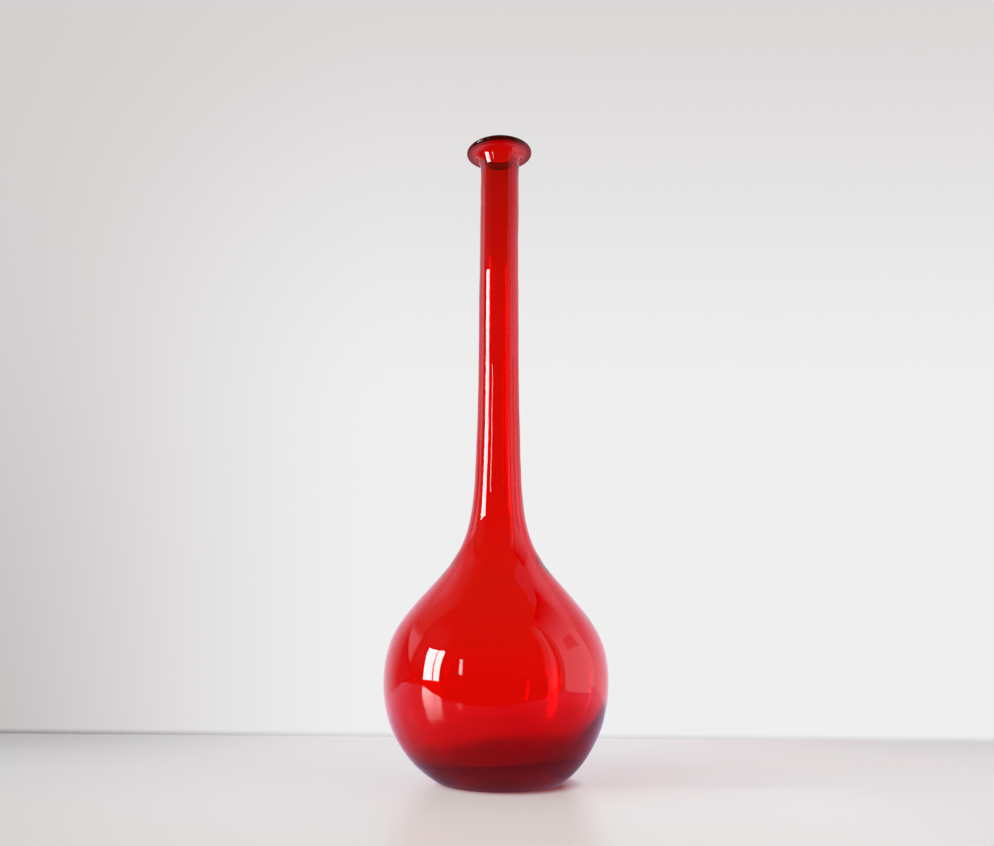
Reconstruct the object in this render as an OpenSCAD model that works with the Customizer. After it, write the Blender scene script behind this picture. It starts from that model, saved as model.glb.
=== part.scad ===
// Long-necked bottle, blown from one gather of ruby glass and turned about Z.
// The outline is a chain of Bezier curves that share their tangents, and across
// the widest point and the shoulder their curvature too. The wall is thick in
// the foot and the neck and thin round the bulb, as blowing leaves it.

/* [Overall] */
// Height from the table to the top of the lip
height = 400; // [380:1:460]

/* [Bulb] */
// Widest diameter of the bulb
bulb_d = 132; // [118:1:150]
// Height of the widest point
bulb_h = 57.6; // [50:0.1:66]
// Diameter where the full bulb turns into the hollow sweep of the neck
shoulder_d = 78; // [66:1:92]
// Height of that turn
shoulder_h = 111.8; // [102:0.1:126]
// Thickness of the wall at the widest point
bulb_wall = 2.2; // [1.6:0.1:3.5]
// Thickness of the wall at the heel, where the bulb rounds into the foot
heel_wall = 5; // [3.6:0.1:7]

/* [Foot] */
// Outer diameter of the ground foot
foot_d = 69; // [60:1:80]
// Slope of the bulb where it leaves the foot, from the horizontal
foot_angle = 27; // [20:1:34]
// Width of the polished bevel round the edge of the foot
foot_bevel = 1; // [0.4:0.1:2.5]
// Diameter of the hollow ground into the underside
punt_d = 46; // [30:1:54]
// Depth of that hollow
punt_depth = 1.6; // [0.6:0.1:3]
// Height of the low dome in the inside floor above the table, on the axis
floor_h = 21; // [16:0.5:24]
// Height that the inside of the heel heads for before it turns up into the dome
moat_h = 10; // [6:0.5:13]

/* [Neck] */
// Outer diameter of the straight part of the neck
neck_d = 25.3; // [23:0.1:30]
// Diameter of the bore inside the straight part
bore_d = 17; // [13:0.1:19]
// Height at which the neck becomes straight
neck_h = 311; // [260:1:345]

/* [Lip] */
// Outer diameter of the lip
lip_d = 43; // [41:0.5:52]
// Thickness of the lip inside its rim
lip_t = 2.9; // [2:0.1:3.4]
// Thickness of the rounded rim
rim_t = 3.6; // [3.5:0.1:5]
// Width of the sweep that turns the neck out into the underside of the lip
lip_sweep_w = 5; // [3:0.1:5.6]
// Height of that sweep
lip_sweep_h = 14; // [8:0.5:20]
// Depth of the funnel that turns the bore out into the top of the lip
funnel_h = 10; // [6:0.5:18]

/* [Hidden] */

bulb_r = bulb_d / 2;
shoulder_r = shoulder_d / 2;
foot_r = foot_d / 2;
punt_r = punt_d / 2;
neck_r = neck_d / 2;
bore_r = bore_d / 2;
neck_wall = neck_r - bore_r;
lip_r = lip_d / 2;
rim_r = rim_t / 2;

// Reach of the curves' control points, as shares of the spans that they cross
foot_reach_share = 0.468;
bulb_top_share = 0.4547;
bulb_turn_share = 0.428;
heel_share = 0.36; // place of the heel along the lower bulb
heel_reach_share = 0.6;
dome_reach_share = 0.35;
sweep_rise_share = 0.6;
sweep_run_share = 0.7;
quarter_share = 0.5523; // reach that makes a curve a quarter of an ellipse
swell_share = 0.45;

// Straight pieces that each curve is drawn with
bulb_steps = 22;
neck_steps = 40;
heel_steps = 14;
floor_steps = 12;
sweep_steps = 10;
funnel_steps = 9;
swell_steps = 4;
rim_steps = 12;
punt_steps = 8;
round_fn = 180;

// Point at share t of the cubic Bezier curve with the control points p
function bezier_at(p, t) =
    pow(1 - t, 3) * p[0] + 3 * pow(1 - t, 2) * t * p[1]
    + 3 * (1 - t) * t * t * p[2] + t * t * t * p[3];

// The curve's points, less its first
function bezier(p, steps) = [for (i = [1:steps]) bezier_at(p, i / steps)];

// Points on an arc, less its first
function arc(centre, r, from, to, steps) =
    [for (i = [1:steps])
        let (a = from + (to - from) * i / steps) centre + r * [cos(a), sin(a)]];

// Heading of the curve at share t, and the unit normal on the left of it
function heading(p, t) =
    (1 - t) * (1 - t) * (p[1] - p[0]) + 2 * (1 - t) * t * (p[2] - p[1]) + t * t * (p[3] - p[2]);
function left_of(p, t) = let (d = heading(p, t)) [-d.y, d.x] / norm(d);

// Smooth rise from 0 to 1
function ease(t) = t * t * (3 - 2 * t);

// Ends of the outer curves
foot_edge = [foot_r, foot_bevel * tan(foot_angle / 2)];
widest = [bulb_r, bulb_h];
shoulder = [shoulder_r, shoulder_h];
neck_start = [neck_r, neck_h];

// The upper bulb runs straight up from the widest point to its corner, and from
// there along the shoulder's tangent, which goes on to the corner of the neck
bulb_corner = [bulb_r, bulb_h + bulb_top_share * (shoulder_h - bulb_h)];
bulb_turn = bulb_corner + bulb_turn_share * (shoulder - bulb_corner);
shoulder_slope = (shoulder_h - bulb_corner.y) / (bulb_r - shoulder_r);
neck_corner = [neck_r, shoulder_h + shoulder_slope * (shoulder_r - neck_r)];
upper_bulb = [widest, bulb_corner, bulb_turn, shoulder];
neck_curve = [shoulder, neck_corner, neck_corner, neck_start];

// The lower bulb ends with the curvature that the upper bulb starts with
foot_turn = foot_edge + foot_reach_share * (bulb_r - foot_r) * [1, tan(foot_angle)];
bulb_drop = (bulb_corner.y - bulb_h) * sqrt((bulb_r - foot_turn.x) / (bulb_r - bulb_turn.x));
lower_bulb = [foot_edge, foot_turn, widest - [0, bulb_drop], widest];

// The inside follows the outside at the depth of the wall, which thickens from
// the widest point up to the neck and down to the heel
heel_z = bezier_at(lower_bulb, heel_share).y;
function wall_at(z) = bulb_wall + (z > bulb_h
    ? (neck_wall - bulb_wall) * ease((z - bulb_h) / (neck_h - bulb_h))
    : (heel_wall - bulb_wall) * pow((bulb_h - z) / (bulb_h - heel_z), 3));
function inside(p, t) = let (outer = bezier_at(p, t)) outer + wall_at(outer.y) * left_of(p, t);
inside_neck = [for (i = [neck_steps:-1:0]) inside(neck_curve, i / neck_steps)];
inside_upper = [for (i = [bulb_steps - 1:-1:0]) inside(upper_bulb, i / bulb_steps)];
inside_lower = [
    for (i = [1:heel_steps]) inside(lower_bulb, 1 - (1 - heel_share) * i / heel_steps)
];

// From the heel it turns up through a shallow moat into a low dome on the axis
inside_heel = inside_lower[heel_steps - 1];
heel_run = inside_heel - inside_lower[heel_steps - 2];
floor_corner = inside_heel + heel_run * (moat_h - inside_heel.y) / heel_run.y;
inside_floor = [
    inside_heel,
    inside_heel + heel_reach_share * (floor_corner - inside_heel),
    [dome_reach_share * floor_corner.x, floor_h],
    [0, floor_h]
];

// The neck sweeps out into the lip, which swells to a round rim and falls back
// into the bore through a funnel
rim_centre = [lip_r - rim_r, height - rim_r];
lip_under_z = rim_centre.y - lip_t / 2;
lip_top_z = rim_centre.y + lip_t / 2;
lip_root_r = neck_r + lip_sweep_w;
rim_foot = [rim_centre.x, rim_centre.y - rim_r];
rim_top = [rim_centre.x, rim_centre.y + rim_r];
swell_run = swell_share * (rim_centre.x - lip_root_r);
sweep = [
    [neck_r, lip_under_z - lip_sweep_h],
    [neck_r, lip_under_z - (1 - sweep_rise_share) * lip_sweep_h],
    [lip_root_r - sweep_run_share * lip_sweep_w, lip_under_z],
    [lip_root_r, lip_under_z]
];
swell_under = [sweep[3], sweep[3] + [swell_run, 0], rim_foot - [swell_run, 0], rim_foot];
funnel = [
    [lip_root_r, lip_top_z],
    [lip_root_r - quarter_share * (lip_root_r - bore_r), lip_top_z],
    [bore_r, lip_top_z - (1 - quarter_share) * funnel_h],
    [bore_r, lip_top_z - funnel_h]
];
swell_over = [rim_top, rim_top - [swell_run, 0], funnel[0] + [swell_run, 0], funnel[0]];

// The punt is a shallow cap that meets the foot's flat ring at its edge
punt_cap_r = (punt_r * punt_r + punt_depth * punt_depth) / (2 * punt_depth);
punt_angle = asin(punt_r / punt_cap_r);

outline = concat(
    [[0, punt_depth]],
    arc([0, punt_depth - punt_cap_r], punt_cap_r, 90, 90 - punt_angle, punt_steps),
    [[foot_r - foot_bevel, 0], foot_edge],
    bezier(lower_bulb, bulb_steps),
    bezier(upper_bulb, bulb_steps),
    bezier(neck_curve, neck_steps),
    [sweep[0]],
    bezier(sweep, sweep_steps),
    bezier(swell_under, swell_steps),
    arc(rim_centre, rim_r, -90, 90, rim_steps),
    bezier(swell_over, swell_steps),
    bezier(funnel, funnel_steps),
    inside_neck,
    inside_upper,
    inside_lower,
    bezier(inside_floor, floor_steps)
);

module bottle() {
    color([0.78, 0.03, 0.04, 0.85])
        rotate_extrude($fn = round_fn)
            polygon(outline);
}

bottle();
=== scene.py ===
from math import asin, cos, pi, radians, sin, sqrt, tan

import bpy
from bpy.props import FloatProperty, FloatVectorProperty, IntProperty, PointerProperty
from mathutils import Matrix, Vector


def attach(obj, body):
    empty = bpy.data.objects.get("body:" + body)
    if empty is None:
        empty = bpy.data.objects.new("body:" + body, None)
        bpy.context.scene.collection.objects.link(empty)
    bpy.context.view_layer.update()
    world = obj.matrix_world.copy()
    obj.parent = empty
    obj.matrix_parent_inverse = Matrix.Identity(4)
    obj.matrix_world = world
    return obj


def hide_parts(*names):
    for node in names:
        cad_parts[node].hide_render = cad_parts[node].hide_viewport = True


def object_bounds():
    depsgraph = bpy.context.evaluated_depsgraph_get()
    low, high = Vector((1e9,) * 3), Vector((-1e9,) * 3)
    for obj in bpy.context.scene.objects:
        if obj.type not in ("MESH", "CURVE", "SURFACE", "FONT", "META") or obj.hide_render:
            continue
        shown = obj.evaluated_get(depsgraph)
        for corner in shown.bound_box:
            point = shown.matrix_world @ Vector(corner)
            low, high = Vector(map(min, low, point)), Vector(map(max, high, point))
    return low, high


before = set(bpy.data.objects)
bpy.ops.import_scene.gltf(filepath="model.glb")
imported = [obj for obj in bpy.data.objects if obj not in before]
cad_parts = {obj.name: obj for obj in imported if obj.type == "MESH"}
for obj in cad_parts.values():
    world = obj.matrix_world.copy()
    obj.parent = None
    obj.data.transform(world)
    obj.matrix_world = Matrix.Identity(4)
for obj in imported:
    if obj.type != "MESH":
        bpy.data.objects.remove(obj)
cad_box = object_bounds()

bl_info = {
    "name": "Ruby Glass Bottle",
    "version": (1, 0, 0),
    "blender": (4, 5, 0),
    "location": "View3D > Sidebar > Bottle",
    "description": "Blows a long-necked ruby glass bottle and sets it on a table by a window",
    "category": "Object",
}

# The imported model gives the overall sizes, and the other sizes are chosen to suit them
GLASS_HEIGHT = cad_box[1].z - cad_box[0].z
GLASS_WIDTH = cad_box[1].x - cad_box[0].x
MM = 0.001
BLACK = (0.0, 0.0, 0.0)


def length(name, default, description):
    """A size in metres"""
    return FloatProperty(
        name=name, default=default, description=description, min=0.0, unit="LENGTH", precision=5
    )


def place(name, default, description):
    """A place along an axis, in metres, which may be negative"""
    return FloatProperty(
        name=name, default=default, description=description, unit="LENGTH", precision=5
    )


def band(name, default, description):
    """Where a change begins and where it is over, in metres"""
    return FloatVectorProperty(
        name=name, default=default, description=description, size=2, unit="LENGTH", precision=5
    )


def angle(name, default, description):
    """An angle that is stored in radians and shown in degrees"""
    return FloatProperty(
        name=name, default=radians(default), description=description, subtype="ANGLE"
    )


def number(name, default, description):
    """A plain number, such as a ratio or a brightness"""
    return FloatProperty(name=name, default=default, description=description, precision=4)


def colour(name, default, description):
    """A linear colour, which may be brighter than white"""
    return FloatVectorProperty(
        name=name, default=default, description=description, subtype="COLOR", size=3, min=0.0
    )


class BottleSizes(bpy.types.PropertyGroup):
    """Measures of the blown glass"""

    height: length("Height", GLASS_HEIGHT, "From the table to the top of the lip")
    bulb: length("Bulb", GLASS_WIDTH, "Widest diameter of the bulb")
    bulb_level: length("Bulb Level", 0.0576, "Height of the widest point")
    shoulder: length("Shoulder", 0.078, "Diameter where the bulb turns into the sweep of the neck")
    shoulder_level: length("Shoulder Level", 0.1118, "Height of that turn")
    bulb_wall: length("Bulb Wall", 0.0022, "Thickness of the wall at the widest point")
    heel_wall: length("Heel Wall", 0.005, "Thickness of the wall where the bulb rounds into the foot")
    foot: length("Foot", 0.069, "Outer diameter of the ground foot")
    foot_slope: angle("Foot Slope", 27, "Slope of the bulb where it leaves the foot")
    foot_bevel: length("Foot Bevel", 0.001, "Width of the polished bevel round the foot")
    punt: length("Punt", 0.046, "Diameter of the hollow ground into the underside")
    punt_depth: length("Punt Depth", 0.0016, "Depth of that hollow")
    floor_level: length("Floor Level", 0.021, "Height of the low dome in the inside floor")
    moat_level: length("Moat Level", 0.010, "Height that the wall heads for before the dome")
    neck: length("Neck", 0.0253, "Outer diameter of the straight part of the neck")
    bore: length("Bore", 0.017, "Diameter of the bore in the straight part of the neck")
    neck_level: length("Neck Level", 0.311, "Height at which the neck becomes straight")
    lip: length("Lip", 0.043, "Outer diameter of the lip")
    lip_thickness: length("Lip Thickness", 0.0029, "Thickness of the lip inside its rim")
    rim: length("Rim", 0.0036, "Thickness of the rounded rim")
    sweep_width: length("Sweep Width", 0.005, "Width of the sweep from the neck out to the lip")
    sweep_height: length("Sweep Height", 0.014, "Height of that sweep")
    funnel_depth: length("Funnel Depth", 0.010, "Depth of the funnel from the lip into the bore")

    foot_reach: number("Foot Reach", 0.468, "Reach of the lower bulb's curve out of the foot")
    bulb_top: number("Bulb Top", 0.4547, "Place of the upper bulb's corner up to the shoulder")
    bulb_turn: number("Bulb Turn", 0.428, "Reach of the upper bulb's curve towards the shoulder")
    heel: number("Heel", 0.36, "Place of the heel along the lower bulb")

    foot_shift: place("Foot Shift", 0.0026, "How far the foot was ground off the axis, along X")
    foot_shift_level: length("Foot Shift Level", 0.035, "Height at which that shift has faded away")
    floor_tilt: angle("Floor Tilt", 3, "Tilt of the inside floor, with its right side the higher")
    lip_tilt: angle("Lip Tilt", 1.5, "Droop of the lip on its left side")
    outer_play: length("Outer Unevenness", 0.00015, "How far the outside wanders from a true round")
    inner_play: length("Inner Unevenness", 0.0002, "How far the inside wanders from a true round")
    ripple: length("Ripple Size", 0.022, "Size of one swell of that unevenness")
    columns: IntProperty(name="Columns", default=256, min=3, description="Faces round the glass")
    seed: IntProperty(name="Seed", default=7, description="Picks the unevenness of the glass")


class GlassLook(bpy.types.PropertyGroup):
    """What the ruby glass does to light"""

    tint: colour("Surface Tint", (0.97, 0.12, 0.1), "Colour that a thin skin of the glass lets through")
    neck_tint: colour("Neck Tint", (0.81, 0.13, 0.11), "The same at the mouth, struck deeper by reheating")
    lip_tint: colour("Lip Tint", (0.50, 0.06, 0.06), "The same in the lip, which was reheated most")
    mouth_depth: length("Mouth Depth", 0.12, "How far down the neck the deeper colour reaches")
    lip_depth: band("Lip Depth", (0.010, 0.020), "Depths under the lip's top where its colour ends")
    lip_reach: band("Lip Reach", (0.003, 0.008), "The same, in from the lip's edge")
    haze: number("Haze", 0.35, "Share of the light that the reheated rim scatters")
    haze_tint: colour("Haze Tint", (0.45, 0.05, 0.06), "Colour of that scattered light")
    haze_depth: band("Haze Depth", (0.008, 0.015), "Depths under the lip's top where the haze ends")
    haze_reach: band("Haze Reach", (0.001, 0.0035), "The same, in from the lip's edge")
    depth: colour("Depth Colour", (0.98875, 0.0, 0.0), "Colour that is left after the colour depth")
    density: number("Density", 1600.0, "Strength of the glass's colour per metre")
    bending: number("Index", 1.52, "Refractive index of the glass")
    smear: number("Smear", 0.02, "Roughness of the faint smears on the fire-polished glass")
    ground: number("Ground Roughness", 0.6, "Roughness of the ground foot")
    ground_height: band("Ground Height", (0.003, 0.004), "Heights where the ground glass ends")
    floor: number("Floor Softness", 0.3, "Roughness of the inside floor, which fine ripples blur")
    shadow_tint: colour("Shadow Tint", (0.95, 0.94, 0.94), "Skin of the glass for the light in its shadow")


class StudioLook(bpy.types.PropertyGroup):
    """The table, the walls, the lamps and the camera"""

    wall: colour("Wall", (0.863, 0.86, 0.858), "Wall behind the bottle")
    # The back wall's painted shade: dimmer high up and low at the far left
    wall_high: colour("High Wall", (0.70, 0.68, 0.675), "The same wall high up")
    wall_dim: colour("Dim Wall", (0.518, 0.472, 0.478), "The same wall low at the far left")
    # Painted shade on the wall along its foot, where it meets the table
    wall_seam_shade: colour("Wall Seam", (0.25, 0.22, 0.23), "The same wall close over the table")
    wall_mirrored: colour("Mirrored Wall", (1.0, 0.96, 1.14), "The same wall as the glass mirrors it")
    wall_bounce: colour("Wall Bounce", (0.3, 0.29, 0.29), "Light that the wall throws on the table")
    wall_place: place("Wall Place", 0.2235, "Place of the wall behind the bottle, along Y")
    wall_turn: number("Wall Turn", -0.02, "How far the wall comes nearer for each metre to the right")
    table: colour("Table", (0.707, 0.698, 0.692), "Pale table top, less what its gloss adds")
    # Painted pinkish shadow on the table behind the bottle, tinted by light through the red glass
    table_pink_shadow: colour("Table Blush", (0.728, 0.692, 0.670), "The same behind the bottle on its right")
    foot_shade: colour("Foot Shade", (0.22, 0.02, 0.04), "The table under the foot, in the glass's shade")
    table_mirrored: colour("Mirrored Table", (1.0, 0.82, 1.25), "The table as the glass mirrors it")
    table_glow: number("Table Glow", 0.62, "Share of the table's light that no shadow falls on")
    table_sheen: number("Table Roughness", 0.3, "Roughness of the table's gloss")
    table_gloss: number("Table Gloss", 0.05, "Strength of that gloss")
    table_front: place("Table Front", -0.184, "Front edge of the table as reflections see it, along Y")
    table_left: place("Table Left", -0.9, "Left edge of the table as reflections see it, along X")
    table_right: place("Table Right", 0.4, "Right edge of the table as reflections see it, along X")
    gloss_tone: colour("Gloss Tone", (0.1, 0.1, 0.1), "The table's left half in reflections, over its glow")
    gloss_sheen: number("Gloss Roughness", 0.15, "Roughness of the table's left half in reflections")
    side_place: place("Side Place", 0.6, "Place of the pale wall on the right, along X")
    side_front: place("Side Front", -0.24, "Front edge of that wall, along Y")
    side_tint: colour("Side Tint", (1.0, 1.0, 1.14), "Colour of that wall, which only reflections see")
    side: number("Side", 1.22, "Brightness of that wall, which faces the window")
    dark: colour("Dark Room", (0.13, 0.12, 0.055), "The dark room before the bottle and over it")
    glow: colour("Room Glow", (1.0, 0.95, 1.1), "The pale patches of the room")
    far: colour("Far Room", (0.5, 0.49, 0.49), "The room as seen through the glass")
    ceiling: colour("Ceiling", (0.12, 0.11, 0.11), "The same high up")
    lens: number("Lens", 32.78, "Focal length in millimetres")
    eye: FloatVectorProperty(
        name="Eye", default=(-0.0004, -0.553, 0.0853), size=3, unit="LENGTH", precision=5,
        description="Place of the camera",
    )
    pitch: angle("Pitch", 12.9, "How far the camera looks up")
    roll: angle("Roll", 0.355, "How far the camera leans to its left")
    daylight: colour("Daylight", (1.0, 0.98, 0.97), "Colour of the lamps")
    window: number("Window", 20.0, "Brightness of the window's panes")
    slit: number("Slit", 12.0, "Brightness of the narrow light beside the window")
    soft: number("Soft Light", 1.6, "Brightness of the soft light that draws the faint shadow")


class Wire:
    """A socket that takes part in Python sums by adding Math nodes to its tree"""

    def __init__(self, bench, socket):
        self.bench = bench
        self.socket = socket

    def __add__(self, other):
        return self.bench.maths("ADD", self, other)

    def __sub__(self, other):
        return self.bench.maths("SUBTRACT", self, other)

    def __rsub__(self, other):
        return self.bench.maths("SUBTRACT", other, self)

    def __mul__(self, other):
        return self.bench.maths("MULTIPLY", self, other)

    def __truediv__(self, other):
        return self.bench.maths("DIVIDE", self, other)

    def __rtruediv__(self, other):
        return self.bench.maths("DIVIDE", other, self)

    def __neg__(self):
        return self.bench.maths("MULTIPLY", self, -1)

    __radd__ = __add__
    __rmul__ = __mul__

    def out(self, name):
        """Another output of the same node"""
        return Wire(self.bench, self.socket.node.outputs[name])

    def smooth(self, low, high, start, end):
        """A smooth change from the start, up to low, to the end, from high on"""
        settings = {"interpolation_type": "SMOOTHSTEP"}
        return self.bench.add("ShaderNodeMapRange", settings, self, low, high, start, end)

    def rise(self, low, high):
        """A smooth rise from 0 at low to 1 at high"""
        return self.smooth(low, high, 0.0, 1.0)

    def fall(self, low, high):
        """A smooth fall from 1 at low to 0 at high"""
        return self.smooth(low, high, 1.0, 0.0)

    def step(self, change, low, high):
        """A smooth change from 0 at low to that change at high"""
        return change * self.rise(low, high)

    def within(self, low, high, blur):
        """1 from low to high and 0 outside them, with edges that blur that far to each side"""
        return self.rise(low - blur, low + blur) * self.fall(high - blur, high + blur)


class Bench:
    """Adds nodes to one tree"""

    def __init__(self, tree):
        self.tree = tree

    def add(self, kind, settings=None, *values, **named):
        """A node with its settings, then its sockets' values or links. Gives its first output."""
        node = self.tree.nodes.new(kind)
        for name, value in (settings or {}).items():
            setattr(node, name, value)
        inputs = [socket for socket in node.inputs if socket.enabled]
        by_name = {socket.name: socket for socket in inputs}
        pairs = [*zip(inputs, values), *((by_name[name], value) for name, value in named.items())]
        for socket, value in pairs:
            if isinstance(value, Wire):
                self.tree.links.new(value.socket, socket)
            elif socket.type == "RGBA":
                socket.default_value = (*value, 1.0)
            else:
                socket.default_value = value
        outputs = [output for output in node.outputs if output.enabled]
        return Wire(self, outputs[0]) if outputs else None

    def maths(self, operation, *values):
        return self.add("ShaderNodeMath", {"operation": operation}, *values)

    def vector(self, operation, *values):
        return self.add("ShaderNodeVectorMath", {"operation": operation}, *values)

    def split(self, vector):
        """The three parts of a vector"""
        parts = self.add("ShaderNodeSeparateXYZ", None, vector)
        return [parts.out(name) for name in "XYZ"]

    def blend(self, share, first, second):
        """The first colour where the share is 0 and the second where it is 1"""
        return self.add("ShaderNodeMix", {"data_type": "RGBA"}, share, first, second)

    def layer(self, share, first, second):
        """The first shader where the share is 0 and the second where it is 1"""
        return self.add("ShaderNodeMixShader", None, share, first, second)

    def mirrored(self):
        """1 for a ray that was last mirrored, and 0 for one that came straight or through glass"""
        path = self.add("ShaderNodeLightPath")
        return path.out("Is Glossy Ray") * (1 - path.out("Is Transmission Ray"))


# Curves of the section

def bezier_at(p, t):
    """Point at share t of the cubic curve with the control points p"""
    return (
        (1 - t) ** 3 * p[0] + 3 * (1 - t) ** 2 * t * p[1]
        + 3 * (1 - t) * t * t * p[2] + t ** 3 * p[3]
    )


def bezier(p, steps):
    """The curve's points, less its first"""
    return [bezier_at(p, i / steps) for i in range(1, steps + 1)]


def arc(centre, radius, start, end, steps):
    """Points on an arc, less its first"""
    angles = [start + (end - start) * i / steps for i in range(1, steps + 1)]
    return [centre + radius * Vector((cos(a), sin(a))) for a in angles]


def straight(start, end, steps):
    """Points on a straight line, less its first"""
    return [start.lerp(end, i / steps) for i in range(1, steps + 1)]


def left_of(p, t):
    """Unit normal on the left of the curve's heading"""
    d = (1 - t) ** 2 * (p[1] - p[0]) + 2 * (1 - t) * t * (p[2] - p[1]) + t * t * (p[3] - p[2])
    return Vector((-d.y, d.x)).normalized()


def ease(t):
    """Smooth rise from 0 to 1"""
    t = min(max(t, 0.0), 1.0)
    return t * t * (3 - 2 * t)


# How the blown glass departs from the true outline, in millimetres:
# the height, how far the glass leans to the right there, and how far its sides swell
BY_HAND = (
    (88, 0.0, 0.0), (101, 0.04, -0.34), (109, 0.32, -0.36), (116, 0.43, -0.38), (122, 0.44, -0.08),
    (129, 0.43, 0.42), (137, 0.42, 0.2), (150, 0.48, -0.03), (172, 0.47, 0.0), (186, 0.52, 0.27),
    (197, 0.51, 0.38), (210, 0.51, 0.32), (224, 0.45, 0.12), (242, 0.50, -0.06), (262, 0.42, -0.04),
    (282, 0.36, 0.05), (300, 0.30, 0.04), (318, 0.30, -0.15), (334, 0.25, -0.08), (352, 0.38, 0.08),
    (368, 0.38, 0.04), (378, 0.42, -0.02), (386, 0.44, 0.05), (393, 0.0, 0.12), (400, 0.0, 0.20),
)


def by_hand(level):
    """Lean and swell of the glass at that height, in metres"""
    low = BY_HAND[0]
    for high in BY_HAND[1:]:
        if level < high[0] * MM:
            share = ease((level / MM - low[0]) / (high[0] - low[0]))
            return [(a + (b - a) * share) * MM for a, b in zip(low[1:], high[1:])]
        low = high
    return [part * MM for part in low[1:]]


class Section:
    """The glass cut through on one side of its axis, as points (radius, height) in order round the cut"""

    def __init__(self):
        self.points = []
        self.inner = []
        self.creased = []

    def go(self, points, inner=False, crease=False):
        """Adds points of the outer or the inner face. A crease is put at the last of them."""
        self.points += points
        self.inner += [float(inner)] * len(points)
        self.creased += [False] * (len(points) - 1) + [crease]

    def leans(self):
        """How far the glass leans at each point"""
        return [by_hand(point.y)[0] for point in self.points]

    def swells(self):
        """How far the outside swells at each point. The inside and the middle of the foot stay."""
        return [
            0.0 if inner or point.x == 0 else by_hand(point.y)[1]
            for point, inner in zip(self.points, self.inner)
        ]


# Straight pieces that each stretch of the section is drawn with
STEPS = {
    "punt": 12, "ring": 6, "bevel": 3, "lower bulb": 44, "upper bulb": 40, "shoulder": 64,
    "neck": 24, "sweep": 16, "swell": 5, "rim": 16, "funnel": 14,
    "bore": 12, "inner shoulder": 48, "inner upper bulb": 30, "inner lower bulb": 24, "floor": 18,
}

# Reach of the section's curves, as shares of the spans that they cross
SWEEP_RISE_SHARE = 0.6
SWEEP_RUN_SHARE = 0.7
SWELL_SHARE = 0.45
QUARTER_SHARE = 0.5523          # makes a curve a quarter of an ellipse
HEEL_REACH_SHARE = 0.6
DOME_REACH_SHARE = 0.35


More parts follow.
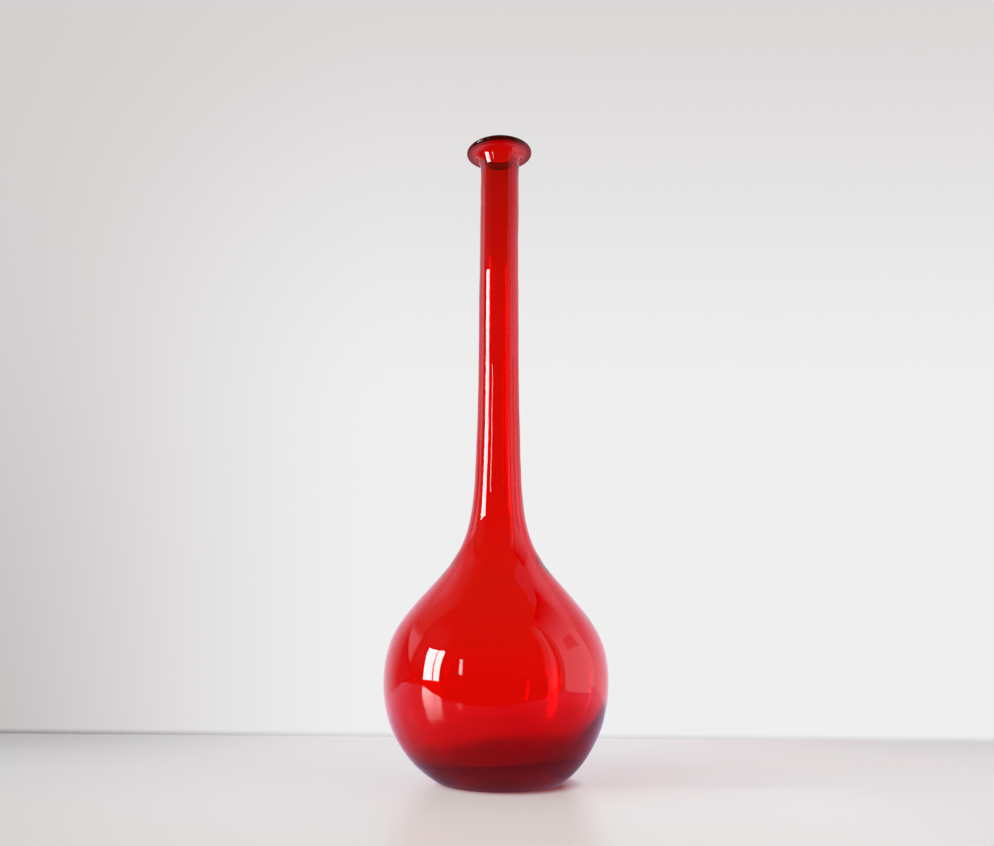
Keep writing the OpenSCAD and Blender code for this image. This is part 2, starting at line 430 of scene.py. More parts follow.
def bottle_section(size):
    """The section of the glass, from the axis under the foot, up the outside and down the inside"""
    bulb_r, shoulder_r, foot_r = size.bulb / 2, size.shoulder / 2, size.foot / 2
    neck_r, bore_r, punt_r = size.neck / 2, size.bore / 2, size.punt / 2
    lip_r, rim_r = size.lip / 2, size.rim / 2
    section = Section()

    # The punt is a shallow cap, and a flat ring and a bevel lie round it
    cap_r = (punt_r ** 2 + size.punt_depth ** 2) / (2 * size.punt_depth)
    cap_centre = Vector((0, size.punt_depth - cap_r))
    cap_angle = asin(punt_r / cap_r)
    ring = [Vector((punt_r, 0)), Vector((foot_r - size.foot_bevel, 0))]
    foot_edge = Vector((foot_r, size.foot_bevel * tan(size.foot_slope / 2)))
    section.go([Vector((0, size.punt_depth))])
    section.go(arc(cap_centre, cap_r, pi / 2, pi / 2 - cap_angle, STEPS["punt"]), crease=True)
    section.go(straight(*ring, STEPS["ring"]), crease=True)
    section.go(straight(ring[1], foot_edge, STEPS["bevel"]), crease=True)

    # The curves of the bulb share their tangents, and at the widest point their curvature
    widest = Vector((bulb_r, size.bulb_level))
    shoulder = Vector((shoulder_r, size.shoulder_level))
    rise = size.shoulder_level - size.bulb_level
    bulb_corner = widest + Vector((0, size.bulb_top * rise))
    bulb_turn = bulb_corner + size.bulb_turn * (shoulder - bulb_corner)
    slope = (shoulder.y - bulb_corner.y) / (bulb_r - shoulder_r)
    neck_corner = Vector((neck_r, shoulder.y + slope * (shoulder_r - neck_r)))
    neck_start = Vector((neck_r, size.neck_level))
    foot_run = size.foot_reach * (bulb_r - foot_r)
    foot_turn = foot_edge + foot_run * Vector((1, tan(size.foot_slope)))
    drop = (bulb_corner.y - widest.y) * sqrt((bulb_r - foot_turn.x) / (bulb_r - bulb_turn.x))
    lower_bulb = [foot_edge, foot_turn, widest - Vector((0, drop)), widest]
    upper_bulb = [widest, bulb_corner, bulb_turn, shoulder]
    neck_curve = [shoulder, neck_corner, neck_corner, neck_start]
    section.go(bezier(lower_bulb, STEPS["lower bulb"]))
    section.go(bezier(upper_bulb, STEPS["upper bulb"]))
    section.go(bezier(neck_curve, STEPS["shoulder"]))

    # The neck sweeps out into the lip, which swells to a round rim and falls into the bore
    rim_centre = Vector((lip_r - rim_r, size.height - rim_r))
    under, over = rim_centre.y - size.lip_thickness / 2, rim_centre.y + size.lip_thickness / 2
    root_r = neck_r + size.sweep_width
    sweep = [
        Vector((neck_r, under - size.sweep_height)),
        Vector((neck_r, under - (1 - SWEEP_RISE_SHARE) * size.sweep_height)),
        Vector((root_r - SWEEP_RUN_SHARE * size.sweep_width, under)),
        Vector((root_r, under)),
    ]
    swell = Vector((SWELL_SHARE * (rim_centre.x - root_r), 0))
    rim_foot, rim_top = rim_centre - Vector((0, rim_r)), rim_centre + Vector((0, rim_r))
    swell_under = [sweep[3], sweep[3] + swell, rim_foot - swell, rim_foot]
    funnel = [
        Vector((root_r, over)),
        Vector((root_r - QUARTER_SHARE * (root_r - bore_r), over)),
        Vector((bore_r, over - (1 - QUARTER_SHARE) * size.funnel_depth)),
        Vector((bore_r, over - size.funnel_depth)),
    ]
    swell_over = [rim_top, rim_top - swell, funnel[0] + swell, funnel[0]]
    section.go(straight(neck_start, sweep[0], STEPS["neck"]))
    section.go(bezier(sweep, STEPS["sweep"]))
    section.go(bezier(swell_under, STEPS["swell"]))
    section.go(arc(rim_centre, rim_r, -pi / 2, pi / 2, STEPS["rim"]))
    section.go(bezier(swell_over, STEPS["swell"]))
    section.go(bezier(funnel, STEPS["funnel"]), inner=True)

    # The inside follows the outside at the depth of the wall
    heel_z = bezier_at(lower_bulb, size.heel).y
    neck_wall = neck_r - bore_r

    def inside(p, t):
        outer = bezier_at(p, t)
        if outer.y > widest.y:
            more = (neck_wall - size.bulb_wall) * ease((outer.y - widest.y) / (neck_start.y - widest.y))
        else:
            thicker = size.heel_wall - size.bulb_wall
            more = thicker * ((widest.y - outer.y) / (widest.y - heel_z)) ** 3
        return outer + (size.bulb_wall + more) * left_of(p, t)

    def down_inside(p, last, steps):
        """Points of the inside along that curve, from its end down to its share last, less the first"""
        return [inside(p, 1 - (1 - last) * i / steps) for i in range(1, steps + 1)]

    section.go(straight(funnel[3], inside(neck_curve, 1), STEPS["bore"]), inner=True)
    section.go(down_inside(neck_curve, 0, STEPS["inner shoulder"]), inner=True)
    section.go(down_inside(upper_bulb, 0, STEPS["inner upper bulb"]), inner=True)
    section.go(down_inside(lower_bulb, size.heel, STEPS["inner lower bulb"]), inner=True)

    # From the heel it turns up through a shallow moat into a low dome on the axis
    heel = section.points[-1]
    run = heel - section.points[-2]
    corner = heel + run * (size.moat_level - heel.y) / run.y
    floor = [
        heel, heel + HEEL_REACH_SHARE * (corner - heel),
        Vector((DOME_REACH_SHARE * corner.x, size.floor_level)), Vector((0, size.floor_level)),
    ]
    section.go(bezier(floor, STEPS["floor"]), inner=True)
    return section


def section_mesh(section):
    """The section as a line of edges in the plane of X and Z, with what is known of each point"""
    mesh = bpy.data.meshes.new("bottle_section")
    count = len(section.points)
    mesh.from_pydata([(p.x, 0, p.y) for p in section.points], [(i, i + 1) for i in range(count - 1)], [])
    known = {"inner": section.inner, "lean": section.leans(), "swell": section.swells()}
    for name, values in known.items():
        mesh.attributes.new(name, "FLOAT", "POINT").data.foreach_set("value", values)
    mesh.attributes.new("creased", "BOOLEAN", "POINT").data.foreach_set("value", section.creased)
    return mesh


def named_inputs(tree, sockets):
    """Adds the tree's inputs in order, and gives their identifiers by name"""
    made = {}
    for name, kind in sockets:
        made[name] = tree.interface.new_socket(name, in_out="INPUT", socket_type=kind).identifier
    return made


# Where the glass wanders from a true round, in metres
STEADY_FOOT = (0.003, 0.022)    # heights over which it starts to wander
STEADY_RIM = (0.006, 0.030)     # depths under the lip's top over which it stops
NOISE_MIDDLE = (0.5, 0.5, 0.5)
NOISE_SPREAD = 4                # brings the noise, which keeps near its middle, up to the full play
WANDER = {"Detail": 1.0, "Roughness": 0.4}
DROOP_DEPTH = (0.005, 0.020)    # depths under the lip's top over which the droop ends
DROOP_BLEND = 0.006             # width over which the droop sets in across the mouth
FLOOR_TOP = (0.02, 0.05)        # heights over which the inside floor gives way to the bulb's side
MERGE_WITHIN = 2e-6


def glass_lathe():
    """Geometry Nodes tree that turns a section round Z and lets the glass wander from a true round"""
    tree = bpy.data.node_groups.new("Glass Lathe", "GeometryNodeTree")
    tree.is_modifier = True
    tree.interface.new_socket("Geometry", in_out="OUTPUT", socket_type="NodeSocketGeometry")
    sockets = named_inputs(tree, [
        ("Section", "NodeSocketGeometry"),
        ("Columns", "NodeSocketInt"),
        ("Height", "NodeSocketFloat"),
        ("Lip Slope", "NodeSocketFloat"),
        ("Foot Shift", "NodeSocketFloat"),
        ("Foot Shift Level", "NodeSocketFloat"),
        ("Floor Slope", "NodeSocketFloat"),
        ("Outer Unevenness", "NodeSocketFloat"),
        ("Inner Unevenness", "NodeSocketFloat"),
        ("Ripple Size", "NodeSocketFloat"),
        ("Seed", "NodeSocketFloat"),
        ("Glass", "NodeSocketMaterial"),
    ])
    bench = Bench(tree)
    given = bench.add("NodeGroupInput")
    section = given.out("Section")

    # One row of the grid for each point of the section, and one column more than there are faces
    rows = bench.add("GeometryNodeAttributeDomainSize", None, section)
    grid = bench.add("GeometryNodeMeshGrid", None, 1.0, 1.0, rows, given.out("Columns") + 1)
    along, around, _ = bench.split(grid.out("UV Map"))
    row = bench.maths("ROUND", along * (rows - 1))
    turn = around * (-2 * pi)

    def at_row(kind, value):
        return bench.add("GeometryNodeSampleIndex", {"data_type": kind}, section, value, row)

    def named(kind, name):
        return bench.add("GeometryNodeInputNamedAttribute", {"data_type": kind}, name)

    radius, _, level = bench.split(at_row("FLOAT_VECTOR", bench.add("GeometryNodeInputPosition")))
    inner = at_row("FLOAT", named("FLOAT", "inner"))
    lean = at_row("FLOAT", named("FLOAT", "lean"))
    swell = at_row("FLOAT", named("FLOAT", "swell"))
    creased = at_row("BOOLEAN", named("BOOLEAN", "creased"))

    # The sides swell, and the front and the back don't
    across = bench.maths("COSINE", turn)
    squared = across * across
    radius = radius + swell * squared * squared
    round_place = bench.add(
        "ShaderNodeCombineXYZ", None, radius * across, radius * bench.maths("SINE", turn), level
    )

    # The glass wanders smoothly, but not where the foot is ground or the rim is turned
    depth = given.out("Height") - level
    steady = level.rise(*STEADY_FOOT) * depth.rise(*STEADY_RIM)
    ripples = bench.add(
        "ShaderNodeTexNoise", {"noise_dimensions": "4D"},
        Vector=round_place, W=given.out("Seed"), Scale=1 / given.out("Ripple Size"), **WANDER
    ).out("Color")
    outer_play, inner_play = given.out("Outer Unevenness"), given.out("Inner Unevenness")
    play = (outer_play + (inner_play - outer_play) * inner) * steady * NOISE_SPREAD
    wander = bench.vector("SCALE", bench.vector("SUBTRACT", ripples, NOISE_MIDDLE), play)

    # The foot was ground a little off the axis, the neck leans, and the lip droops on its left
    unshifted = bench.maths("MINIMUM", level / given.out("Foot Shift Level"), 1)
    shifted = (1 - unshifted) * (1 - unshifted)
    x, _, _ = bench.split(round_place)
    left_part = x - bench.maths("SQRT", x * x + DROOP_BLEND ** 2)
    droop = left_part * given.out("Lip Slope") * depth.fall(*DROOP_DEPTH)
    tilt = x * given.out("Floor Slope") * inner * level.fall(*FLOOR_TOP)
    sideways = lean + given.out("Foot Shift") * shifted
    shift = bench.add("ShaderNodeCombineXYZ", None, sideways, 0.0, droop + tilt)
    final_place = bench.vector("ADD", bench.vector("ADD", round_place, wander), shift)

    turned = bench.add("GeometryNodeSetPosition", None, grid.out("Mesh"), Position=final_place)
    turned = bench.add(
        "GeometryNodeStoreNamedAttribute", {"data_type": "BOOLEAN"}, turned, True, "creased", creased
    )
    closed = bench.add("GeometryNodeMergeByDistance", None, turned, Distance=MERGE_WITHIN)
    smooth = bench.add("GeometryNodeSetShadeSmooth", {"domain": "FACE"}, closed, True, True)
    crisp = bench.add(
        "GeometryNodeSetShadeSmooth", {"domain": "EDGE"}, smooth, named("BOOLEAN", "creased"), False
    )
    real = bench.add("GeometryNodeRealizeInstances", None, crisp)
    finished = bench.add("GeometryNodeSetMaterial", None, real, Material=given.out("Glass"))
    bench.add("NodeGroupOutput", None, finished)
    return tree, sockets


def bare_material(name):
    """A material with no nodes yet, and the bench that adds them"""
    material = bpy.data.materials.new(name)
    material.use_nodes = True
    material.node_tree.nodes.clear()
    return material, Bench(material.node_tree)


# How the glass's material finds the inside floor, in metres: it lies over the foot's own glass and
# inside a curve that runs up the middle of the heel's wall
FLOOR_FOOT = (0.0045, 0.006)
HEEL_REACH = (0.0335, 0.0355)
HEEL_SLOPE = 1.2
HEEL_BEND = 12.0

# The glass's surface: its smears and where they are cut off, its fine ripples, and how nearly level a
# face has to lie to be ground
SMEARS = {"Scale": 38.0, "Detail": 4.0, "Roughness": 0.6}
SMEAR_CUT = (0.55, 0.8)
RIPPLES = {"Scale": 60.0, "Detail": 2.0, "Roughness": 0.5}
RIPPLE_BUMP = {"Strength": 0.05, "Distance": 0.0004}
GROUND_FACING = (0.93, 0.97)


def ruby_glass(look, size):
    """Clear glass coloured red in the mass, fire-polished, with a ground foot"""
    material, bench = bare_material("ruby_glass")
    place = bench.add("ShaderNodeTexCoord").out("Object")
    x, y, level = bench.split(place)
    outward = bench.maths("SQRT", x * x + y * y)
    depth = size.height - level
    inward = size.lip / 2 - outward

    # Faint smears from wiping, the matt ring where the foot was ground, and the rippled inside floor
    smears = bench.add("ShaderNodeTexNoise", None, Vector=place, **SMEARS)
    _, _, facing = bench.split(bench.add("ShaderNodeNewGeometry").out("Normal"))
    ground = bench.maths("ABSOLUTE", facing).rise(*GROUND_FACING) * level.fall(*look.ground_height)
    heel = outward - HEEL_SLOPE * level + HEEL_BEND * level * level
    in_floor = heel.fall(*HEEL_REACH) * level.rise(*FLOOR_FOOT) * level.fall(*FLOOR_TOP)
    roughness = smears.rise(*SMEAR_CUT) * look.smear * (1 - ground) + ground * look.ground
    roughness = roughness + in_floor * look.floor
    ripples = bench.add("ShaderNodeTexNoise", None, Vector=place, **RIPPLES)
    bump = bench.add("ShaderNodeBump", None, Height=ripples, **RIPPLE_BUMP)

    # Reheating struck the colour deeper in the mouth and the lip, and left a haze in the rim
    tint = bench.blend(depth.fall(0.0, look.mouth_depth), look.tint, look.neck_tint)
    tint = bench.blend(depth.fall(*look.lip_depth) * inward.fall(*look.lip_reach), tint, look.lip_tint)
    glass = bench.add(
        "ShaderNodeBsdfPrincipled", None,
        **{
            "Base Color": tint, "Roughness": roughness, "IOR": look.bending,
            "Transmission Weight": 1.0, "Normal": bump,
        }
    )
    hazy = depth.fall(*look.haze_depth) * inward.fall(*look.haze_reach) * look.haze
    glass = bench.layer(hazy, glass, bench.add("ShaderNodeBsdfTranslucent", None, look.haze_tint))

    # Shadows stay faint, as clear glass leaves them, but take the colour in the mass
    path = bench.add("ShaderNodeLightPath")
    in_shadow = path.out("Is Shadow Ray") + path.out("Is Diffuse Ray")
    clear = bench.add("ShaderNodeBsdfTransparent", None, look.shadow_tint)
    mass = bench.add("ShaderNodeVolumeAbsorption", None, look.depth, look.density)
    bench.add("ShaderNodeOutputMaterial", None, bench.layer(in_shadow, glass, clear), mass)
    return material


class GLASS_OT_blow_bottle(bpy.types.Operator):
    """Blow the ruby glass bottle in place of its plain solid"""

    bl_idname = "glass.blow_bottle"
    bl_label = "Blow Bottle"

    def execute(self, context):
        size = context.scene.bottle_sizes
        piece = bpy.data.objects.new("bottle_glass", section_mesh(bottle_section(size)))
        context.scene.collection.objects.link(piece)
        tree, sockets = glass_lathe()
        lathe = piece.modifiers.new("Lathe", "NODES")
        lathe.node_group = tree
        settings = {
            "Columns": size.columns,
            "Height": size.height,
            "Lip Slope": tan(size.lip_tilt),
            "Foot Shift": size.foot_shift,
            "Foot Shift Level": size.foot_shift_level,
            "Floor Slope": tan(size.floor_tilt),
            "Outer Unevenness": size.outer_play,
            "Inner Unevenness": size.inner_play,
            "Ripple Size": size.ripple,
            "Seed": float(size.seed),
            "Glass": ruby_glass(context.scene.glass_look, size),
        }
        for name, value in settings.items():
            lathe[sockets[name]] = value
        context.view_layer.update()
        evaluated = piece.evaluated_get(context.evaluated_depsgraph_get())
        glass = bpy.data.meshes.new_from_object(evaluated)
        glass.name = "bottle_glass"
        piece.modifiers.remove(lathe)
        piece.data = glass
        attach(piece, "root")
        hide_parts("bottle")
        return {"FINISHED"}


def flat_sheet(name, corners, material):
    """One flat face of the stage"""
    mesh = bpy.data.meshes.new(name)
    mesh.from_pydata(corners, [], [range(len(corners))])
    mesh.materials.append(material)
    sheet = bpy.data.objects.new(name, mesh)
    bpy.context.scene.collection.objects.link(sheet)
    return sheet


# Painted shade on the wall behind the bottle, over bands along X or up Z, in metres
WALL_LEFT = (-0.52, -0.08)      # it is dim on the left of these
WALL_DIM_LOSS = 1.05            # share of that dimness which is lost with each metre up
WALL_HIGH = (0.25, 0.75)        # it takes its tone high up over these
WALL_TOP = (0.7, 1.4)           # and nearly all of it is dark over these
WALL_TOP_SHARE = 0.9
SEAM_SHADE_HEIGHT = 0.005             # shade along the table, and its strength on the right
SEAM_SHADE_SHARE = 0.25
MIRRORED_LEFT = (-0.65, -0.15)  # the glass mirrors the wall dimly on the left of these
MIRRORED_LEAST = 0.1
MIRRORED_GAIN = 0.85
MIRRORED_FALL = (               # and its brightness changes with height: by how much, from where to where
    (-0.5, 0.1, 0.35), (0.25, 0.35, 0.45), (-0.5, 0.5, 1.0),
)
OPENING = (0.26, 0.31)          # on the left it finds no wall over these heights, which slope
OPENING_SLOPE = 0.1


def wall_paint(look):
    """A wall that glows on its front, with painted shade to the left and high up, and isn't there from
    behind
    """
    material, bench = bare_material("wall_paint")
    x, _, z = bench.split(bench.add("ShaderNodeTexCoord").out("Object"))
    to_left = x.fall(*WALL_LEFT)
    seen = bench.blend(z.rise(*WALL_HIGH), look.wall, look.wall_high)
    seen = bench.blend(to_left * (1 - WALL_DIM_LOSS * z), seen, look.wall_dim)
    # Painted shade along the foot of the wall, stronger on the left
    seam_shade = z.fall(0.0, SEAM_SHADE_HEIGHT) * (SEAM_SHADE_SHARE + (1 - SEAM_SHADE_SHARE) * to_left)
    seen = bench.blend(seam_shade, seen, look.wall_seam_shade)
    seen = bench.blend(z.step(WALL_TOP_SHARE, *WALL_TOP), seen, BLACK)

    from_left = x.rise(*MIRRORED_LEFT)
    up = 1 + sum(z.step(*change) for change in MIRRORED_FALL)
    reflected = bench.blend((MIRRORED_LEAST + MIRRORED_GAIN * from_left) * up, BLACK, look.wall_mirrored)
    tone = bench.blend(bench.mirrored(), seen, reflected)
    tone = bench.blend(bench.add("ShaderNodeLightPath").out("Is Diffuse Ray"), tone, look.wall_bounce)
    paint = bench.add("ShaderNodeEmission", None, tone, 1.0)

    # Mirrored rays find no wall high up on the left
    behind = bench.add("ShaderNodeNewGeometry").out("Backfacing")
    opening = bench.mirrored() * (1 - from_left) * (z + OPENING_SLOPE * x).rise(*OPENING)
    clear = bench.add("ShaderNodeBsdfTransparent")
    surface = bench.layer(bench.maths("MAXIMUM", behind, opening), paint, clear)
    bench.add("ShaderNodeOutputMaterial", None, surface)
    return material


# The pale wall on the right: its ends up Z, its fading, and the middle of each edge of the dark square
SIDE_LOW, SIDE_HIGH = -0.15, 1.1
SIDE_FADE = (0.15, 1.1)
SQUARE_ALONG = (-0.1125, 0.0725)
SQUARE_UP = (0.3025, 0.4425)
SQUARE_BLUR = 0.0025
SQUARE_SHARE = 0.5


def side_paint(look):
    """The pale wall on the right with a small dark square on it, which only reflections see"""
    material, bench = bare_material("side_paint")
    _, y, z = bench.split(bench.add("ShaderNodeTexCoord").out("Object"))
    square = y.within(*SQUARE_ALONG, SQUARE_BLUR) * z.within(*SQUARE_UP, SQUARE_BLUR)
    tone = bench.blend(z.fall(*SIDE_FADE) * (1 - SQUARE_SHARE * square), BLACK, look.side_tint)
    bench.add("ShaderNodeOutputMaterial", None, bench.add("ShaderNodeEmission", None, tone, look.side))
    return material


# Painted light and shade on the table, over bands along X and Y, in metres
TABLE_SHARE = 0.87
TABLE_AWAY = (-0.07, -0.10, 0.08)       # change with the way back, from where to where
TABLE_RIGHTWARD = (0.07, -0.28, -0.02)  # and with the way to the right
TABLE_SIDES = (0.08, 0.38)              # it dims this far from the middle
TABLE_BACK = (0.02, 0.24)               # and this far back
TABLE_LOSS = 0.255                      # by this share on the left
TABLE_RIGHT_LOSS = (-0.066, -0.01, 0.01)
DAYLIGHT_SHARE = 0.06                   # patch of daylight on the right of the foot
DAYLIGHT_LEFT = (0.03, 0.06)
DAYLIGHT_RIGHT = (0.16, 0.24)
DAYLIGHT_BACK = (-0.026, -0.008)
PINK_SHADOW_RIGHT = (0.02, 0.22)              # painted pinkish shadow behind the bottle on its right, tinted by light through the red glass
PINK_SHADOW_BACK = (-0.02, 0.10)
CONTACT_SHIFT = 0.008                   # shade under the foot: its place along X and its reach
CONTACT_REACH = (0.031, 0.045)
CONTACT_SHARE = 0.92
IN_GLASS_SHARE = 0.1                    # the table as the glass mirrors it, and how that changes
IN_GLASS_AWAY = (0.4, -0.08, 0.12)
IN_GLASS_OUTWARD = (0.1, 0.03, 0.15)
IN_GLASS_RIGHTWARD = (0.15, 0.15, 0.3)
MATT_RIGHT = (-0.03, 0.03)              # it is glossy on the left of these and matt on the right
TABLE_CORNER = 0.1                      # behind this place the table has no right edge
EDGE_BLUR = 0.001


def table_top(look):
    """Pale, half-glossy table. Reflections see it only as far as its edges."""
    material, bench = bare_material("table_top")
    x, y, _ = bench.split(bench.add("ShaderNodeTexCoord").out("Object"))
    from_middle = bench.maths("ABSOLUTE", x)

    # As the camera sees it: painted shade far back at the sides, a painted patch of daylight on the right
    # and painted shade at the foot
    loss = y.rise(*TABLE_BACK) * from_middle.rise(*TABLE_SIDES) * (TABLE_LOSS + x.step(*TABLE_RIGHT_LOSS))
    daylight = x.rise(*DAYLIGHT_LEFT) * x.fall(*DAYLIGHT_RIGHT) * y.fall(*DAYLIGHT_BACK)
    fade = TABLE_SHARE + y.step(*TABLE_AWAY) + x.step(*TABLE_RIGHTWARD) - loss + DAYLIGHT_SHARE * daylight
    # Painted pinkish shadow behind the bottle on its right, tinted by light through the red glass
    pink_shadow = x.rise(*PINK_SHADOW_RIGHT) * y.rise(*PINK_SHADOW_BACK)
    tone = bench.blend(fade, BLACK, bench.blend(pink_shadow, look.table, look.table_pink_shadow))
    aside = x - CONTACT_SHIFT
    under_foot = bench.maths("SQRT", aside * aside + y * y).fall(*CONTACT_REACH)
    tone = bench.blend(CONTACT_SHARE * under_foot, tone, look.foot_shade)
    seen = bench.add(
        "ShaderNodeBsdfPrincipled", None,
        **{
            "Base Color": tone, "Roughness": look.table_sheen, "Specular IOR Level": look.table_gloss,
            "Emission Color": tone, "Emission Strength": look.table_glow,
        }
    )

    # As the glass mirrors it: glossy on the left and matt on the right
    reflected = IN_GLASS_SHARE + y.step(*IN_GLASS_AWAY) + from_middle.step(*IN_GLASS_OUTWARD)
    reflected = bench.blend(reflected + x.step(*IN_GLASS_RIGHTWARD), BLACK, look.table_mirrored)
    glossy = bench.add(
        "ShaderNodeBsdfPrincipled", None,
        **{
            "Base Color": look.gloss_tone, "Roughness": look.gloss_sheen,
            "Emission Color": reflected, "Emission Strength": 1.0,
        }
    )
    matt = bench.add("ShaderNodeEmission", None, reflected, 1.0)
    in_glass = bench.layer(x.rise(*MATT_RIGHT), glossy, matt)

    past_right = x.rise(look.table_right, look.table_right + EDGE_BLUR)
    before_corner = y.fall(TABLE_CORNER, TABLE_CORNER + EDGE_BLUR)
    on_table = (
        y.rise(look.table_front - EDGE_BLUR, look.table_front)
        * x.rise(look.table_left - EDGE_BLUR, look.table_left)
        * (1 - past_right * before_corner)
    )
    mirror_ray = bench.mirrored()
    top = bench.layer(mirror_ray, seen, in_glass)
    clear = bench.add("ShaderNodeBsdfTransparent")
    surface = bench.layer(mirror_ray * (1 - on_table), top, clear)
    bench.add("ShaderNodeOutputMaterial", None, surface)
    return material


# Pale patches of the room that the glass mirrors: the brightness of each, then its bearings and the
# softness of their ends, and its heights over the horizon and theirs, all in degrees
ROOM_PATCHES = (
    (0.95, (-136, -96, 3), (10, 28.5, 3.5)),
    (0.18, (-136, -96, 3), (30.5, 60, 8)),
    (0.10, (-92, -60, 6), (8, 45, 8)),
    (0.28, (52, 90, 3), (-8, 50, 8)),
    (0.40, (58, 63, 1), (-8, 50, 8)),
)
DARK_BAR = (64, 67, 1)          # bearings of a dark bar through them
DARK_LIFT = (-0.2, 1.0)         # the dark room brightens over these, in radians
DARK_LOW_SHARE = 0.5
FAR_BAND = (-0.6, 0.2)          # where the room, seen through the glass, turns into the wall
CEILING_BAND = (0.3, 0.8)       # and where it goes dark


def room_light(scene, look):
    """World: pale behind the bottle, and a dark room with pale patches before it and over it"""
    world = bpy.data.worlds.new("room")
    world.use_nodes = True
    world.node_tree.nodes.clear()
    scene.world = world
    bench = Bench(world.node_tree)
    x, y, z = bench.split(bench.add("ShaderNodeTexCoord").out("Generated"))
    bearing = bench.maths("ARCTAN2", x, -y)
    lift = bench.maths("ARCSINE", z)

    def span(wire, degrees):
        return wire.within(*(radians(part) for part in degrees))

    patches = sum(
        brightness * span(bearing, bearings) * span(lift, lifts)
        for brightness, bearings, lifts in ROOM_PATCHES
    )
    lit = bench.blend(patches * (1 - span(bearing, DARK_BAR)), BLACK, look.glow)
    dark = bench.blend(lift.rise(*DARK_LIFT), [DARK_LOW_SHARE * part for part in look.dark], look.dark)
    reflected = bench.vector("ADD", dark, lit)
    seen_through = bench.blend(y.rise(*FAR_BAND), look.far, look.wall)
    seen_through = bench.blend(z.rise(*CEILING_BAND), seen_through, look.ceiling)
    path = bench.add("ShaderNodeLightPath")
    light = bench.blend(path.out("Is Transmission Ray"), reflected, seen_through)
    light = bench.blend(path.out("Is Camera Ray"), light, look.wall)
    bench.add("ShaderNodeOutputWorld", None, bench.add("ShaderNodeBackground", None, light, 1.0))


# Where the lamps stand, in metres
BULB_MIDDLE = Vector((0, 0, 0.06))
LAMP_DISTANCE = 3.9


def lamp_pane(look, name, azimuths, elevations, brightness, soft=False, through=True):
    """A flat lamp that fills those azimuths and elevations as seen from the bulb, in degrees. Azimuths run
    to the left from the camera's side. A soft lamp lights only matt surfaces, and any other is only
    mirrored and, if wanted, seen through glass."""
    a, e = radians(sum(azimuths) / 2), radians(sum(elevations) / 2)
    outward = LAMP_DISTANCE * Vector((-sin(a) * cos(e), -cos(a) * cos(e), sin(e)))
    light = bpy.data.lights.new(name, "AREA")
    light.shape = "RECTANGLE"
    light.size = 2 * LAMP_DISTANCE * tan(radians(azimuths[1] - azimuths[0]) / 2)
    light.size_y = 2 * LAMP_DISTANCE * tan(radians(elevations[1] - elevations[0]) / 2)
    light.energy = brightness * pi * light.size * light.size_y
    light.color = look.daylight
    lamp = bpy.data.objects.new(name, light)
    turned = outward.to_track_quat("Z", "Y").to_matrix().to_4x4()
    lamp.matrix_world = Matrix.Translation(BULB_MIDDLE + outward) @ turned
    lamp.visible_camera = False
    lamp.visible_diffuse = soft
    lamp.visible_glossy = not soft
    lamp.visible_transmission = through and not soft
    bpy.context.scene.collection.objects.link(lamp)


# The camera's frame in millimetres, and how near and how far it sees in metres
FRAME_WIDTH = 36.0
SIGHT = (0.01, 50.0)


def aim_camera(scene, look):
    """Camera at the photograph's viewing angle"""
    lens = bpy.data.cameras.new("camera")
    lens.lens = look.lens
    lens.sensor_width = FRAME_WIDTH
    lens.clip_start, lens.clip_end = SIGHT
    ahead = Vector((0, cos(look.pitch), sin(look.pitch)))
    level, upright = Vector((1, 0, 0)), Vector((0, -sin(look.pitch), cos(look.pitch)))
    right = level * cos(look.roll) + upright * sin(look.roll)
    up = upright * cos(look.roll) - level * sin(look.roll)
    camera = bpy.data.objects.new("camera", lens)
    turned = Matrix((right, up, -ahead)).transposed().to_4x4()
    camera.matrix_world = Matrix.Translation(look.eye) @ turned
    scene.collection.objects.link(camera)
    scene.camera = camera


# The stage: its reach in metres, the azimuths and elevations of the lamps in degrees, and how often
# light is mirrored, which is many times inside thick glass before it gets out
STAGE_REACH = 6.0
PANE_ELEVATIONS = (-1.0, 26.15)
LEFT_PANE = (64.9, 76.5)
RIGHT_PANE = (57.0, 63.5)
SLIT = ((34.5, 37.5), (4.0, 20.0))
SOFT_WINDOW = ((40.0, 90.0), (5.0, 55.0))
BOUNCES = 40


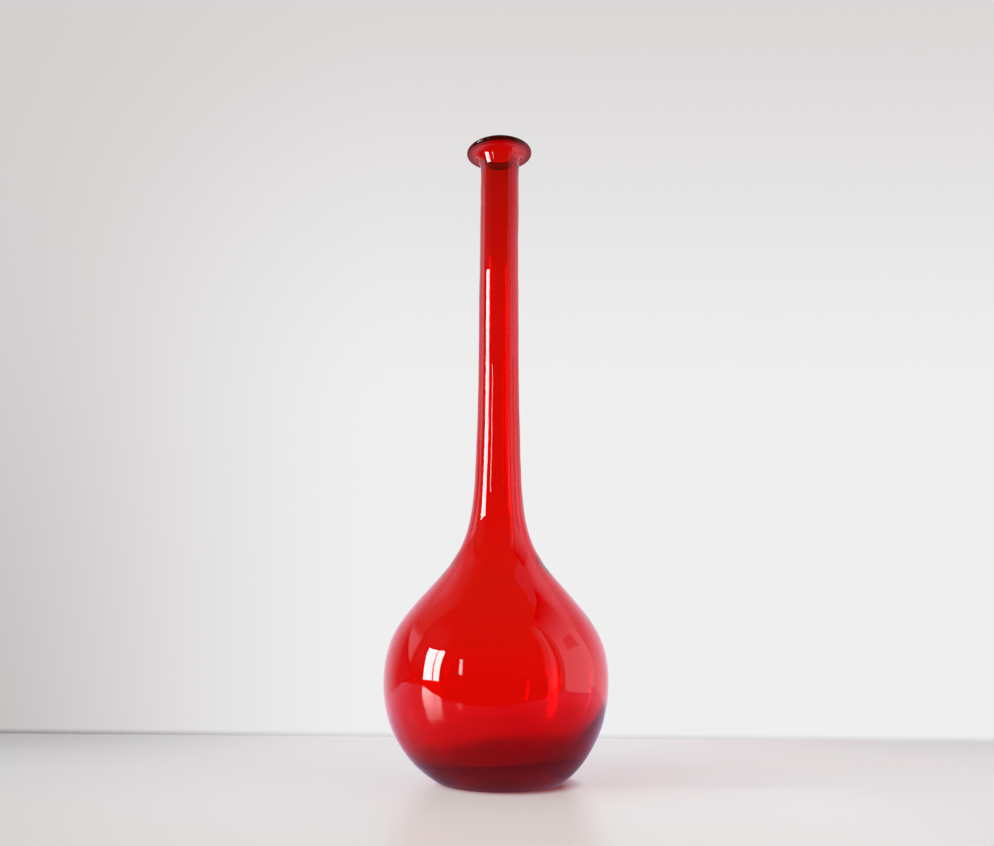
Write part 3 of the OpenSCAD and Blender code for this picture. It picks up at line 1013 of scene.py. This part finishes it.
class GLASS_OT_set_stage(bpy.types.Operator):
    """Set the bottle on a pale table before a pale wall, with its lamps and the camera"""

    bl_idname = "glass.set_stage"
    bl_label = "Set Stage"

    def execute(self, context):
        scene = context.scene
        look = scene.studio_look
        scene.view_settings.view_transform = "Standard"
        scene.cycles.max_bounces = BOUNCES
        scene.cycles.transmission_bounces = BOUNCES
        scene.cycles.glossy_bounces = BOUNCES

        far, back = STAGE_REACH, look.wall_place
        left_back, right_back = back - look.wall_turn * far, back + look.wall_turn * far
        table = [(-far, -far, 0), (far, -far, 0), (far, right_back, 0), (-far, left_back, 0)]
        flat_sheet("table_top", table, table_top(look))
        foot_of_wall = [(-far, left_back, 0), (far, right_back, 0)]
        top_of_wall = [(far, right_back, far), (-far, left_back, far)]
        flat_sheet("back_wall", foot_of_wall + top_of_wall, wall_paint(look))
        side, front = look.side_place, look.side_front
        corners = [(back, SIDE_LOW), (front, SIDE_LOW), (front, SIDE_HIGH), (back, SIDE_HIGH)]
        panel = flat_sheet("side_wall", [(side, y, z) for y, z in corners], side_paint(look))
        panel.visible_camera = panel.visible_diffuse = panel.visible_transmission = False

        room_light(scene, look)
        lamp_pane(look, "window_left_pane", LEFT_PANE, PANE_ELEVATIONS, look.window)
        lamp_pane(look, "window_right_pane", RIGHT_PANE, PANE_ELEVATIONS, look.window, through=False)
        lamp_pane(look, "slit_of_light", *SLIT, look.slit)
        lamp_pane(look, "soft_window", *SOFT_WINDOW, look.soft, soft=True)
        aim_camera(scene, look)
        return {"FINISHED"}


class GLASS_PT_bench(bpy.types.Panel):
    """The bottle's sizes, its glass and its stage"""

    bl_label = "Ruby Glass Bottle"
    bl_space_type = "VIEW_3D"
    bl_region_type = "UI"
    bl_category = "Bottle"

    def draw(self, context):
        scene = context.scene
        for group, operator in (
            (scene.bottle_sizes, None),
            (scene.glass_look, GLASS_OT_blow_bottle),
            (scene.studio_look, GLASS_OT_set_stage),
        ):
            for name in group.__annotations__:
                self.layout.prop(group, name)
            if operator:
                self.layout.operator(operator.bl_idname)


CLASSES = (
    BottleSizes, GlassLook, StudioLook,
    GLASS_OT_blow_bottle, GLASS_OT_set_stage, GLASS_PT_bench,
)


def register():
    for made in CLASSES:
        bpy.utils.register_class(made)
    bpy.types.Scene.bottle_sizes = PointerProperty(type=BottleSizes)
    bpy.types.Scene.glass_look = PointerProperty(type=GlassLook)
    bpy.types.Scene.studio_look = PointerProperty(type=StudioLook)


def unregister():
    del bpy.types.Scene.studio_look
    del bpy.types.Scene.glass_look
    del bpy.types.Scene.bottle_sizes
    for made in reversed(CLASSES):
        bpy.utils.unregister_class(made)


def main():
    register()
    bpy.ops.glass.blow_bottle()
    bpy.ops.glass.set_stage()


if __name__ == "__main__":
    main()
